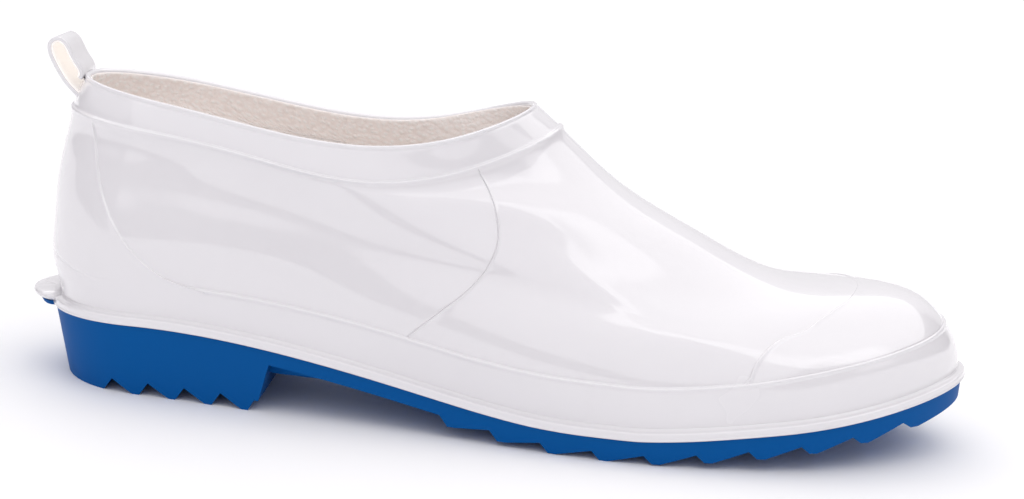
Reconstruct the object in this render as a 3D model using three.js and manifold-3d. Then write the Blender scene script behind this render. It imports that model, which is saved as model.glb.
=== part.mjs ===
// Right slip-on work shoe of moulded plastic: a hollow white upper on a blue ribbed sole.
// Millimetres. X runs from heel to toe, Y from the outer side of the foot to the inner side, Z up.

import * as THREE from 'three';
import { mergeVertices } from 'three/addons/utils/BufferGeometryUtils.js';
import Module from 'manifold-3d';

const wasm = await Module();
wasm.setup();

// Driving sizes
const length = 300;
const ballWidth = 106;
const toeBend = 7.9;
const heelBulge = 1.2;
const heelRound = 33;
const toeRound = 60;

// Sole
const soleDepth = 7.3;
const plateDepth = 4.5;
const heelLift = 14.7;
const toeSpring = 16.5;
const soleInset = 1;
const heelPitch = 12.1;
const heelGroove = 4.4;
const heelTeeth = 4;
const heelLandEnd = 23;
const heelToothFlat = 2.2;
const toeLand = 18.65;
const foreTeeth = 10;
const foreFirstTip = 136;
const foreToothFlat = 2.4;
const toothRun = 2.8;
const lipHeight = 3.5;
const lipRun = 1.8;
const lipFlat = 1.45;
const foreTaper = 1.6;
const heelTaper = 4.4;
const heelTaperEnd = 72;
const shankDrop = 5;
const shankInset = 8;
const shankDraft = 2;
const shankLap = 3;
const shankLength = 32;

// Upper
const wall = 2.3;
const clearance = 0.3;
const collarRise = 76;
const foxingRise = 18;
const panelDepth = 0.5;
const capHeight = 0.35;
const ridgeBead = 0.9;
const ridgeBeadWidth = 2.9;
const foxingBead = 0.35;
const foxingBeadWidth = 2.2;
const foxingDraft = 0.4;
const bandDepth = 0.4;

// Welt
const weltLedge = 3;
const weltHeight = 3.7;
const spurReach = 7.4;
const spurWidth = 28;
const spurDepth = 2;
const spurRaise = 0.8;
const spurThickness = 3.1;
const spurTuck = 0.5;

// Insole and pull loop
const insoleDepth = 3;
const loopWidth = 15.3;
const loopHeight = 22;
const loopThickness = 1.8;

// Fineness of the faceted surfaces
const around = 84;
const soleAround = 96;
const seatSteps = 30;
const lineSteps = 44;
const tabSteps = 20;

// Outline at the top of the sole: half widths to the outer and inner side as shares of ballWidth,
// and how far that line is lifted at the heel and the toe, as shares of heelLift and toeSpring
const plan = [
  { at: 0.0, outer: 0.32, inner: 0.32, heel: 1.0, toe: 0.0 },
  { at: 0.12, outer: 0.325, inner: 0.321, heel: 1.088, toe: 0.0 },
  { at: 0.3, outer: 0.361, inner: 0.292, heel: 0.776, toe: 0.0 },
  { at: 0.42, outer: 0.404, inner: 0.278, heel: 0.381, toe: 0.0 },
  { at: 0.54, outer: 0.464, inner: 0.344, heel: 0.041, toe: 0.0 },
  { at: 0.65, outer: 0.496, inner: 0.439, heel: 0.0, toe: 0.0 },
  { at: 0.76, outer: 0.474, inner: 0.472, heel: 0.0, toe: 0.206 },
  { at: 0.88, outer: 0.413, inner: 0.425, heel: 0.0, toe: 0.527 },
  { at: 1.0, outer: 0.347, inner: 0.349, heel: 0.0, toe: 1.0 },
];

// Rings of the upper, from the foxing line to the collar rim. Back, front and round are shares of
// length; the half widths at heel, waist, ball and toe are shares of ballWidth
const ringPlan = [
  { name: 'foxing', back: -0.006, front: 0.971, round: 0.213,
    outer: [0.306, 0.361, 0.472, 0.429], inner: [0.304, 0.281, 0.41, 0.44] },
  { name: 'toe shoulder', back: -0.006, front: 0.948, round: 0.247,
    outer: [0.302, 0.344, 0.439, 0.387], inner: [0.302, 0.292, 0.396, 0.406] },
  { name: 'toe top', back: -0.005, front: 0.896, round: 0.267,
    outer: [0.286, 0.321, 0.387, 0.382], inner: [0.286, 0.295, 0.368, 0.396] },
  { name: 'low vamp', back: -0.002, front: 0.8, round: 0.24,
    outer: [0.27, 0.302, 0.358, 0.344], inner: [0.27, 0.292, 0.344, 0.349] },
  { name: 'middle vamp', back: 0.002, front: 0.7, round: 0.21,
    outer: [0.26, 0.29, 0.325, 0.302], inner: [0.26, 0.288, 0.311, 0.307] },
  { name: 'high vamp', back: 0.006, front: 0.61, round: 0.17,
    outer: [0.253, 0.285, 0.302, 0.274], inner: [0.253, 0.283, 0.292, 0.274] },
  { name: 'collar ridge', back: 0.009, front: 0.538, round: 0.127,
    outer: [0.255, 0.276, 0.292, 0.253], inner: [0.255, 0.276, 0.292, 0.253] },
  { name: 'rim', back: 0.021, front: 0.508, round: 0.097,
    outer: [0.231, 0.253, 0.264, 0.255], inner: [0.231, 0.253, 0.264, 0.255] },
];

// Rise of each ring above the top of the sole, at back, heel, waist, ball, toe and front. The first
// row holds shares of foxingRise and the others shares of collarRise
const ringRise = [
  [0.89, 0.85, 0.94, 0.87, 0.99, 1.1],
  [0.37, 0.35, 0.385, 0.385, 0.36, 0.365],
  [0.505, 0.49, 0.51, 0.505, 0.43, 0.457],
  [0.62, 0.605, 0.59, 0.605, 0.55, 0.522],
  [0.71, 0.7, 0.665, 0.722, 0.745, 0.72],
  [0.785, 0.765, 0.73, 0.785, 0.89, 0.92],
  [0.86, 0.83, 0.785, 0.795, 0.965, 1.135],
  [1.0, 0.965, 0.91, 0.93, 1.065, 1.215],
];
const ringStations = [0, 0.12, 0.38, 0.65, 0.86, 1];
const seatRing = 0;
const weltRing = 1;
const foxingRing = 2;
const ridgeRing = 8;
const rimRing = 9;
const panelRings = [2.4, 2.75, 3.1, 3.5, 4, 4.5, 5, 5.5, 6, 6.5, 7, 7.5];
const capRings = panelRings.filter((ring) => ring < 6);
const liningRings = [8.75, 8, 7.3, 6.6, 5.8, 5, 4, 3, 2, 1];

// Section of the welt's raised rim: inset as a share of weltLedge, height as a share of weltHeight
const weltRim = [
  { inset: 0.1, up: 0 },
  { inset: 0, up: 0.135 },
  { inset: 0, up: 0.54 },
  { inset: 0.3, up: 0.784 },
];

// Edge of the heel counter in side view: distance from the heel as a share of length, and rise
// above the sole as a share of collarRise
const counterEdge = [
  { at: 0.3, rise: 0.18 },
  { at: 0.208, rise: 0.204 },
  { at: 0.147, rise: 0.222 },
  { at: 0.115, rise: 0.282 },
  { at: 0.088, rise: 0.372 },
  { at: 0.075, rise: 0.487 },
  { at: 0.066, rise: 0.61 },
  { at: 0.058, rise: 0.75 },
  { at: 0.05, rise: 0.9 },
];

// Edge of the toe cap seen from above: share of length, and distance from the curved centre line
// as a share of ballWidth
const capEdge = [
  { at: 0.75, across: 0.6 },
  { at: 0.751, across: 0.49 },
  { at: 0.757, across: 0.442 },
  { at: 0.768, across: 0.403 },
  { at: 0.785, across: 0.357 },
  { at: 0.815, across: 0.306 },
  { at: 0.834, across: 0.247 },
  { at: 0.856, across: 0.162 },
  { at: 0.872, across: 0 },
];

// Outer face of the pull loop in side view, from the back of the collar up, over and down to the
// rim: offsets from the back of the collar ridge as shares of loopHeight
const loopFace = [
  { out: 0.19, up: 0.06 },
  { out: 0.084, up: 0.165 },
  { out: -0.071, up: 0.315 },
  { out: -0.198, up: 0.49 },
  { out: -0.298, up: 0.665 },
  { out: -0.348, up: 0.815 },
  { out: -0.34, up: 0.9 },
  { out: -0.29, up: 0.965 },
  { out: -0.2, up: 1.0 },
  { out: -0.11, up: 0.975 },
  { out: -0.03, up: 0.89 },
  { out: 0.055, up: 0.74 },
  { out: 0.118, up: 0.63 },
  { out: 0.19, up: 0.5 },
];

// Smooth curve through values at stations, with straight ends
function smooth(stations, values) {
  const last = stations.length - 1;
  const bend = new Array(last + 1).fill(0);
  const work = new Array(last + 1).fill(0);
  for (let i = 1; i < last; i++) {
    const before = stations[i] - stations[i - 1];
    const after = stations[i + 1] - stations[i];
    const ratio = before / (before + after);
    const pivot = ratio * bend[i - 1] + 2;
    const turn = (values[i + 1] - values[i]) / after - (values[i] - values[i - 1]) / before;
    bend[i] = (ratio - 1) / pivot;
    work[i] = (6 * turn / (before + after) - ratio * work[i - 1]) / pivot;
  }
  bend[last] = 0;
  for (let i = last - 1; i >= 0; i--) bend[i] = bend[i] * bend[i + 1] + work[i];
  bend[0] = 0;
  return (x) => {
    let i = 0;
    while (i < last - 1 && x > stations[i + 1]) i++;
    const span = stations[i + 1] - stations[i];
    const right = (x - stations[i]) / span;
    const left = 1 - right;
    const curl = ((left ** 3 - left) * bend[i] + (right ** 3 - right) * bend[i + 1]) * span * span / 6;
    return left * values[i] + right * values[i + 1] + curl;
  };
}

const planStations = plan.map((row) => row.at);
const planOuter = smooth(planStations, plan.map((row) => row.outer));
const planInner = smooth(planStations, plan.map((row) => row.inner));
const planHeel = smooth(planStations, plan.map((row) => row.heel));
const planToe = smooth(planStations, plan.map((row) => row.toe));
const centre = (x) => toeBend * (x / length) ** 2;

// Height of the top of the sole, where the blue sole meets the white welt
function seat(x) {
  const share = Math.min(1, Math.max(0, x / length));
  return soleDepth + Math.max(0, heelLift * planHeel(share)) + Math.max(0, toeSpring * planToe(share));
}

// A full turn starts at the back of the heel and runs along the outer side to the toe and back
function station(turn) {
  const whole = turn - Math.floor(turn);
  return { share: (1 - Math.cos(2 * Math.PI * whole)) / 2, side: whole <= 0.5 ? -1 : 1 };
}

// Roundness of a closed outline at one of its ends
function rounding(distance, radius) {
  const left = 1 - Math.min(1, Math.max(0, distance / radius));
  return Math.sqrt(Math.max(0, 1 - left * left));
}

function outlinePoint(turn) {
  const { share, side } = station(turn);
  const half = ballWidth * (side < 0 ? planOuter(share) : planInner(share));
  const x = (length + heelBulge) * share - heelBulge;
  const ends = rounding(share * length, heelRound) * rounding((1 - share) * length, toeRound);
  return new THREE.Vector2(x, centre(length * share) + side * half * ends);
}

// Outline of the sole moved inwards
function outline(turn, inset) {
  const step = 0.002;
  const along = outlinePoint(turn + step).sub(outlinePoint(turn - step)).normalize();
  return outlinePoint(turn).add(new THREE.Vector2(-along.y, along.x).multiplyScalar(inset));
}

const ringCurves = ringPlan.map((row, index) => {
  const widths = ([heel, waist, ball, toe]) => smooth(ringStations, [heel, heel, waist, ball, toe, toe]);
  return { ...row, outerHalf: widths(row.outer), innerHalf: widths(row.inner),
    rise: smooth(ringStations, ringRise[index]), unit: index === 0 ? foxingRise : collarRise };
});

function ringPoint(ring, turn) {
  if (ring < foxingRing) {
    const inset = ring === seatRing ? weltLedge : weltLedge - foxingDraft;
    const spot = outline(turn, inset);
    const lift = ring === seatRing ? clearance : weltHeight + clearance;
    return new THREE.Vector3(spot.x, spot.y, seat(spot.x) + lift);
  }
  const { share, side } = station(turn);
  const row = ringCurves[ring - foxingRing];
  const span = (row.front - row.back) * length;
  const x = row.back * length + span * share;
  const half = ballWidth * (side < 0 ? row.outerHalf(share) : row.innerHalf(share));
  const ends = rounding(share * span, heelRound) * rounding((1 - share) * span, row.round * length);
  const y = centre(Math.max(0, x)) + side * half * ends;
  return new THREE.Vector3(x, y, seat(x) + row.unit * row.rise(share));
}

// Curve up the side of the upper at one turn, through every ring
const ribs = new Map();
function rib(turn) {
  const key = turn.toFixed(6);
  if (!ribs.has(key)) {
    const points = [];
    for (let ring = seatRing; ring <= rimRing; ring++) points.push(ringPoint(ring, turn));
    const run = [0];
    for (let i = 1; i < points.length; i++) run.push(run[i - 1] + points[i].distanceTo(points[i - 1]));
    ribs.set(key, { run, x: smooth(run, points.map((p) => p.x)), y: smooth(run, points.map((p) => p.y)),
      z: smooth(run, points.map((p) => p.z)) });
  }
  return ribs.get(key);
}

// A point of the upper's outer form: at a ring, some millimetres further up, and lifted outwards
function skin(turn, ring, up = 0, lift = 0) {
  const low = Math.min(rimRing - 1, Math.floor(ring));
  const place = (curve) => {
    const from = curve.run[low];
    return from + (ring - low) * (curve.run[low + 1] - from) + up;
  };
  const at = (angle, shift = 0) => {
    const curve = rib(angle);
    const s = place(curve) + shift;
    return new THREE.Vector3(curve.x(s), curve.y(s), curve.z(s));
  };
  const point = at(turn);
  if (lift === 0) return point;
  const step = 0.004;
  const along = at(turn + step).sub(at(turn - step));
  const rise = at(turn, 0.5).sub(at(turn, -0.5));
  const outward = along.cross(rise).normalize();
  if (ring < weltRing) outward.setZ(0).normalize();
  return point.addScaledVector(outward, lift);
}

function solidOf(geometry) {
  const plain = geometry.clone();
  plain.deleteAttribute('normal');
  plain.deleteAttribute('uv');
  const merged = mergeVertices(plain, 1e-4);
  return new wasm.Manifold(new wasm.Mesh({ numProp: 3,
    vertProperties: new Float32Array(merged.attributes.position.array),
    triVerts: new Uint32Array(merged.index.array) }));
}

function geometryOf(solid) {
  const mesh = solid.getMesh();
  const geometry = new THREE.BufferGeometry();
  geometry.setAttribute('position', new THREE.BufferAttribute(new Float32Array(mesh.vertProperties), 3));
  geometry.setIndex(new THREE.BufferAttribute(new Uint32Array(mesh.triVerts), 1));
  return geometry;
}

// Solid through closed rings of points. A stack that returns to its first ring is a hollow band;
// any other stack gets a cap of strips from side to side at both ends
function stack(rings, hollow) {
  const count = rings[0].length;
  const positions = [];
  for (const ring of rings) for (const point of ring) positions.push(point.x, point.y, point.z);
  const index = [];
  const at = (ring, i) => (ring % rings.length) * count + (i % count);
  const last = hollow ? rings.length : rings.length - 1;
  for (let ring = 0; ring < last; ring++) {
    for (let i = 0; i < count; i++) {
      index.push(at(ring, i), at(ring, i + 1), at(ring + 1, i + 1));
      index.push(at(ring, i), at(ring + 1, i + 1), at(ring + 1, i));
    }
  }
  if (!hollow) {
    const top = rings.length - 1;
    for (let i = 0; i < count / 2; i++) {
      const corners = [i, i + 1, count - i - 1, (count - i) % count];
      for (const [a, b, c] of [[0, 1, 2], [0, 2, 3]]) {
        const [p, q, r] = [corners[a], corners[b], corners[c]];
        if (p === q || q === r || r === p) continue;
        index.push(at(top, p), at(top, q), at(top, r));
        index.push(at(0, p), at(0, r), at(0, q));
      }
    }
  }
  const geometry = new THREE.BufferGeometry();
  geometry.setAttribute('position', new THREE.Float32BufferAttribute(positions, 3));
  geometry.setIndex(index);
  return solidOf(geometry);
}

// Straight prism of a side view (X, Z) across the shoe, or of a plan view (X, Y) up through it
function sidePrism(points, half) {
  const shape = new THREE.Shape(points.map(([x, z]) => new THREE.Vector2(x, z)));
  const geometry = new THREE.ExtrudeGeometry(shape, { depth: 2 * half, bevelEnabled: false });
  geometry.rotateX(Math.PI / 2);
  geometry.translate(0, half, 0);
  return solidOf(geometry);
}

function planPrism(points, low, high) {
  const shape = new THREE.Shape(points.map(([x, y]) => new THREE.Vector2(x, y)));
  const geometry = new THREE.ExtrudeGeometry(shape, { depth: high - low, bevelEnabled: false });
  geometry.translate(0, 0, low);
  return solidOf(geometry);
}

const turns = (count) => Array.from({ length: count }, (_, i) => i / count);
const skinRing = (row) => turns(around).map((turn) => skin(turn, row.ring, row.up, row.lift));

// Vertical form of the sole's outline, level by level
function planForm(levels) {
  return stack(levels.map(({ inset, height }) => turns(soleAround).map((turn) => {
    const share = station(turn).share;
    const spot = outline(turn, typeof inset === 'function' ? inset(share) : inset);
    return new THREE.Vector3(spot.x, spot.y, height(spot.x));
  })), false);
}

const treadHeight = (x) => Math.max(0, seat(x) - soleDepth);
const reach = length + spurReach;
const heelEnd = heelLandEnd + heelTeeth * heelPitch;
const breast = heelEnd + heelPitch / 2;
const forePitch = (length - toeLand - foreFirstTip) / (foreTeeth - 1);

// Underside of the sole in side view, from the toe back to the heel
function soleUnderside() {
  const points = [[reach, seat(length) - plateDepth]];
  points.push([length, seat(length) - plateDepth - toothRun / 2]);
  for (let i = foreTeeth - 1; i >= 0; i--) {
    const tip = foreFirstTip + i * forePitch;
    const low = treadHeight(tip + foreToothFlat / 2);
    points.push([tip + foreToothFlat, low], [tip, low]);
    points.push([tip - toothRun, seat(tip - toothRun) - plateDepth]);
  }
  const waistSteps = 4;
  for (let i = waistSteps - 1; i >= 0; i--) {
    const x = breast + (foreFirstTip - toothRun - breast) * i / waistSteps;
    points.push([x, seat(x) - plateDepth]);
  }
  points.push([heelEnd + lipRun + lipFlat, lipHeight], [heelEnd + lipRun, lipHeight]);
  for (let i = heelTeeth; i > 0; i--) {
    const end = heelLandEnd + i * heelPitch;
    points.push([end, 0], [end - heelToothFlat, 0], [end - heelPitch + toothRun, heelGroove]);
  }
  points.push([heelLandEnd, 0], [-reach, 0]);
  return points;
}

function soleProfile() {
  const points = soleUnderside();
  for (let i = 0; i <= seatSteps; i++) {
    const x = -heelRound / 2 + (reach + heelRound / 2) * i / seatSteps;
    points.push([x, seat(x)]);
  }
  return points;
}

// Rounded tab at the back of the heel, for the other foot to hold the shoe down while stepping out
function spurTab(inset, low, high) {
  const points = [];
  const squareness = 0.8;
  for (let i = 0; i <= tabSteps; i++) {
    const angle = Math.PI / 2 + Math.PI * i / tabSteps;
    const x = (spurReach + heelBulge - inset) * Math.cos(angle);
    const y = (spurWidth / 2 - inset) * Math.sign(Math.sin(angle)) * Math.abs(Math.sin(angle)) ** squareness;
    points.push([x, y]);
  }
  points.push([heelRound / 2, -spurWidth / 2 + inset], [heelRound / 2, spurWidth / 2 - inset]);
  return planPrism(points, low, high);
}

function makeOutsole() {
  const lower = (share) => foreTaper + heelTaper * Math.max(0, 1 - share * length / heelTaperEnd);
  const form = planForm([
    { inset: lower, height: () => -plateDepth },
    { inset: lower, height: () => 0 },
    { inset: soleInset, height: (x) => seat(x) },
    { inset: soleInset, height: (x) => seat(x) + plateDepth },
  ]);
  const body = form.intersect(sidePrism(soleProfile(), ballWidth));
  const under = (x, drop) => [x, seat(x) - plateDepth - drop];
  const inside = (x) => under(x, -plateDepth / 2);
  const shankEnd = breast + shankLength;
  const shankProfile = [
    inside(breast - shankLap),
    under(breast - shankLap, shankDrop),
    under(breast + shankDraft, shankDrop),
    under(breast + shankLength / 2, shankDrop * 0.6),
    under(shankEnd, -clearance),
    inside(shankEnd),
  ];
  const shankForm = planForm([
    { inset: shankInset + shankDraft, height: () => 0 },
    { inset: shankInset - shankDraft, height: (x) => seat(x) },
  ]);
  const shank = shankForm.intersect(sidePrism(shankProfile, ballWidth));
  const weltRoom = planForm([
    { inset: -clearance, height: (x) => seat(x) - clearance },
    { inset: -clearance, height: (x) => seat(x) + weltHeight },
  ]);
  const spurLow = seat(0) - spurDepth + spurRaise;
  const spur = spurTab(soleInset, spurLow, seat(0) + spurRaise).subtract(weltRoom);
  return body.add(shank).add(spur);
}

// Welt: a raised rim on the edge of the sole, with a soft slope up to the upper
function makeWelt() {
  const rings = weltRim.map(({ inset, up }) => turns(around).map((turn) => {
    const spot = outline(turn, inset * weltLedge);
    return new THREE.Vector3(spot.x, spot.y, seat(spot.x) + clearance + up * weltHeight);
  }));
  const topRing = 0.92;
  const inner = [1, 0].map((up) => turns(around).map((turn) => {
    const spot = skin(turn, seatRing + up * topRing, 0, clearance);
    return new THREE.Vector3(spot.x, spot.y, seat(outline(turn, weltLedge).x) + clearance + up * weltHeight);
  }));
  const band = stack([...rings, ...inner], true);
  const low = seat(0) + clearance + spurRaise;
  const plug = stack([-spurDepth, weltHeight + spurThickness].map((up) => turns(around).map((turn) => {
    const spot = skin(turn, seatRing, 0, clearance + spurTuck);
    return new THREE.Vector3(spot.x, spot.y, seat(spot.x) + up);
  })), false);
  return band.add(spurTab(0, low, low + spurThickness).subtract(plug));
}

// Rows over the collar ridge: a rounded bead, then the step in to the collar band
const panel = -panelDepth;
const ridgeRows = [
  { ring: ridgeRing, up: -0.62 * ridgeBeadWidth, lift: panel * 0.6 },
  { ring: ridgeRing, up: -0.24 * ridgeBeadWidth, lift: ridgeBead },
  { ring: ridgeRing, up: 0.07 * ridgeBeadWidth, lift: ridgeBead },
  { ring: ridgeRing, up: 0.38 * ridgeBeadWidth, lift: -bandDepth },
  { ring: 8.5, lift: -bandDepth },
];
const panelRows = (rings, lift) => rings.map((ring) => ({ ring, lift }));

// A second skin on the panel, from inside the foxing to the top row: its core lies in the wall
function overlay(lift, rings, topRows) {
  const rows = [
    { ring: foxingRing, up: -0.64 * foxingBeadWidth, lift: -wall * 0.3 },
    { ring: foxingRing, up: 0.1 * foxingBeadWidth, lift },
    ...panelRows(rings, lift),
    ...topRows,
  ];
  const core = rows.map((row) => ({ ...row, lift: -wall * 0.6 })).reverse();
  return stack([...rows, ...core].map(skinRing), true);
}

// Heel counter: the panel's own surface raised by panelDepth behind a curved edge
function makeCounter() {
  const line = new THREE.CatmullRomCurve3(counterEdge.map(({ at, rise }) =>
    new THREE.Vector3(at * length, 0, seat(at * length) + rise * collarRise))).getPoints(lineSteps);
  const area = line.map((point) => [point.x, point.z]);
  area.push([-reach, area.at(-1)[1]], [-reach, 0], [area[0][0], 0]);
  const topRows = [
    { ring: ridgeRing, up: -0.59 * ridgeBeadWidth, lift: 0 },
    { ring: ridgeRing, up: -0.2 * ridgeBeadWidth, lift: -wall * 0.3 },
  ];
  return overlay(0, panelRings, topRows).intersect(sidePrism(area, ballWidth));
}

// Toe cap: the panel's surface raised by capHeight ahead of a rounded edge
function makeToeCap() {
  const side = (sign) => capEdge.map(({ at, across }) =>
    new THREE.Vector3(at * length, centre(at * length) + sign * across * ballWidth, 0));
  const edge = [...side(-1), ...side(1).reverse().slice(1)];
  const area = new THREE.CatmullRomCurve3(edge).getPoints(lineSteps).map((point) => [point.x, point.y]);
  area.push([reach, ballWidth], [reach, -ballWidth]);
  return overlay(capHeight + panel, capRings, []).intersect(planPrism(area.reverse(), 0, length));
}

// Upper: one moulded shell. Rows up its outside hold the steps of foxing, collar ridge and band
function makeUpper() {
  const outside = [
    { ring: seatRing, lift: 0 },
    { ring: weltRing, lift: 0 },
    { ring: (weltRing + foxingRing) / 2, lift: 0 },
    { ring: foxingRing, up: -0.73 * foxingBeadWidth, lift: 0 },
    { ring: foxingRing, up: -0.23 * foxingBeadWidth, lift: foxingBead },
    { ring: foxingRing, up: 0.14 * foxingBeadWidth, lift: foxingBead },
    { ring: foxingRing, up: 0.41 * foxingBeadWidth, lift: panel },
    ...panelRows(panelRings, panel),
    ...ridgeRows,
    { ring: rimRing, up: -0.45 * wall, lift: -bandDepth * 0.5 },
    { ring: rimRing, up: -0.1 * wall, lift: -bandDepth * 1.5 },
  ];
  const inside = [
    { ring: rimRing, up: -0.1 * wall, lift: -wall * 0.75 },
    ...panelRows(liningRings, -wall),
    { ring: seatRing, lift: -wall },
  ];
  const shell = stack([...outside, ...inside].map(skinRing), true);
  return shell.add(makeCounter()).add(makeToeCap());
}

function makeInsole() {
  const level = (ring, up) => turns(around).map((turn) => {
    const spot = skin(turn, ring, 0, -wall - clearance);
    return new THREE.Vector3(spot.x, spot.y, seat(spot.x) + clearance + up);
  });
  return stack([level(seatRing, 0), level(seatRing + insoleDepth / weltHeight, insoleDepth)], false);
}

// Pull loop: a flat strip that leaves the collar band, turns over and comes back to the rim
function makeLoop() {
  const back = skin(0, ridgeRing);
  const outer = new THREE.CatmullRomCurve3(loopFace.map(({ out, up }) =>
    new THREE.Vector3(back.x + out * loopHeight, 0, back.z + up * loopHeight))).getPoints(lineSteps)
    .map((point) => [point.x, point.z]);
  const inner = outer.map((point, i) => {
    const before = outer[Math.max(0, i - 1)];
    const after = outer[Math.min(outer.length - 1, i + 1)];
    const run = Math.hypot(after[0] - before[0], after[1] - before[1]);
    const across = [(after[1] - before[1]) / run, -(after[0] - before[0]) / run];
    return [point[0] + across[0] * loopThickness, point[1] + across[1] * loopThickness];
  });
  const strip = sidePrism([...outer, ...inner.reverse()], loopWidth / 2);
  const collar = [
    { ring: 6, lift: 0 },
    ...ridgeRows,
    { ring: rimRing, up: clearance, lift: -bandDepth },
  ].map((row) => ({ ...row, lift: row.lift + clearance }));
  return strip.subtract(stack(collar.map(skinRing), false));
}

const finishes = {
  white: { color: 0xe3dee2, roughness: 0.16, metalness: 0 },
  blue: { color: 0x0a5096, roughness: 0.42, metalness: 0 },
  cream: { color: 0xdcccc0, roughness: 0.9, metalness: 0 },
};

function piece(name, solid, finish) {
  const mesh = new THREE.Mesh(geometryOf(solid), new THREE.MeshStandardMaterial(finishes[finish]));
  mesh.name = name;
  return mesh;
}

const shoe = new THREE.Group();
shoe.add(piece('outsole', makeOutsole(), 'blue'));
shoe.add(piece('welt', makeWelt(), 'white'));
shoe.add(piece('upper', makeUpper(), 'white'));
shoe.add(piece('insole', makeInsole(), 'cream'));
shoe.add(piece('pull_loop', makeLoop(), 'white'));

// The origin is on the floor, under the middle of the whole shoe
const box = new THREE.Box3().setFromObject(shoe);
const middle = box.getCenter(new THREE.Vector3());
shoe.position.set(-middle.x, -middle.y, -box.min.z);

export default shoe;
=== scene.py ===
import math
import bmesh
import bpy
import numpy as np
from mathutils import Matrix, Vector


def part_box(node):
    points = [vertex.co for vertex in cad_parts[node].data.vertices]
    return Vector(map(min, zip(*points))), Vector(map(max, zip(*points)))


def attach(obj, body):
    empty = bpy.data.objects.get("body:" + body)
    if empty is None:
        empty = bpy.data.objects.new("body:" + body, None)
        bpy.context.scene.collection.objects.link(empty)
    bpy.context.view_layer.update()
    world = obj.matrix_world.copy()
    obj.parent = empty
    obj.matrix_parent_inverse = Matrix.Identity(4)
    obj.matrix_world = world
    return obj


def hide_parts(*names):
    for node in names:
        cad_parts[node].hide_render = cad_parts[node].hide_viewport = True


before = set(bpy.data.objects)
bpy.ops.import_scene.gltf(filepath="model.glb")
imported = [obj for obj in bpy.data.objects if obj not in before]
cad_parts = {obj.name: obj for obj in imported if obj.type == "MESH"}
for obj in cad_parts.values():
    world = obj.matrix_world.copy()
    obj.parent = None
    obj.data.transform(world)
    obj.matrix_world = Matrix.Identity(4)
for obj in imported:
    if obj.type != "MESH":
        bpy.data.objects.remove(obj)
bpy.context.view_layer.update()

# Camera, floor and studio light. The camera keeps the photograph's angle: it looks at the outer
# side of the shoe from a little above and from just ahead of square, rolled a few degrees.
# The shoe stands on a plain white floor under soft boxes, in a pale room.
view_azimuth, view_elevation, view_roll = 3.673, 13.713, math.radians(4.76)
view_distance = 0.7
view_aim = Vector((0.0033, -0.0026, 0.0525))
view_lens = 75.48


def towards(azimuth, elevation):
    """Direction so many degrees round from the outer side, + towards the toe, and up."""
    round_z, up = math.radians(azimuth), math.radians(elevation)
    return Vector((math.sin(round_z) * math.cos(up), -math.cos(round_z) * math.cos(up), math.sin(up)))


view_back = towards(view_azimuth, view_elevation)
level_right = (-view_back).cross(Vector((0, 0, 1))).normalized()
level_up = view_back.cross(level_right)
view_right = level_right * math.cos(view_roll) + level_up * math.sin(view_roll)
view_up = level_up * math.cos(view_roll) - level_right * math.sin(view_roll)
camera = bpy.data.objects.new("camera", bpy.data.cameras.new("camera"))
camera.data.lens = view_lens
camera.data.clip_start = 0.01
camera.matrix_world = Matrix.Translation(view_aim + view_back * view_distance) @ Matrix(
    (view_right, view_up, view_back)).transposed().to_4x4()
bpy.context.collection.objects.link(camera)
bpy.context.scene.camera = camera
bpy.context.scene.view_settings.view_transform = "Standard"


def add_node(tree, kind, inputs=(), **settings):
    """A new node with its settings; inputs maps a socket's name or index to a value or an output."""
    node = tree.nodes.new(kind)
    for name, value in settings.items():
        setattr(node, name, value)
    for socket, value in dict(inputs).items():
        if isinstance(value, bpy.types.NodeSocket):
            tree.links.new(value, node.inputs[socket])
        else:
            node.inputs[socket].default_value = value
    return node


VECTORS = "ShaderNodeVectorMath"


def compute(tree, operation, *values, kind="ShaderNodeMath", out=0):
    """Output of a math node; each value is a number, a vector or another node's output."""
    return add_node(tree, kind, dict(enumerate(values)), operation=operation).outputs[out]


def new_group(name, inputs, outputs, kind="ShaderNodeTree"):
    """A node group and the sockets it is given; each is named with its default or its type."""
    tree = bpy.data.node_groups.new(name, kind)
    for way, sockets in (("INPUT", inputs), ("OUTPUT", outputs)):
        for socket, given in sockets.items():
            typed = given if isinstance(given, str) else "Float"
            made = tree.interface.new_socket(socket, in_out=way, socket_type="NodeSocket" + typed)
            if typed is not given:
                made.default_value = given
    return tree, add_node(tree, "NodeGroupInput").outputs


def new_material(name, **fixed):
    """A material, its node tree and its Principled shader, with the values that never vary."""
    material = bpy.data.materials.new(name)
    material.use_nodes = True
    shader = material.node_tree.nodes["Principled BSDF"]
    for socket, value in fixed.items():
        shader.inputs[socket.replace("_", " ")].default_value = value
    return material, material.node_tree, shader


floor_half = 6.0
floor_corners = [(x * floor_half, y * floor_half, 0) for x, y in ((-1, -1), (1, -1), (1, 1), (-1, 1))]
floor_mesh = bpy.data.meshes.new("floor")
floor_mesh.from_pydata(floor_corners, [], [(0, 1, 2, 3)])
floor = bpy.data.objects.new("floor", floor_mesh)
bpy.context.collection.objects.link(floor)
floor_material, _, _ = new_material("floor white", Base_Color=(0.93, 0.93, 0.935, 1), Roughness=0.7)
floor_mesh.materials.append(floor_material)


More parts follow.
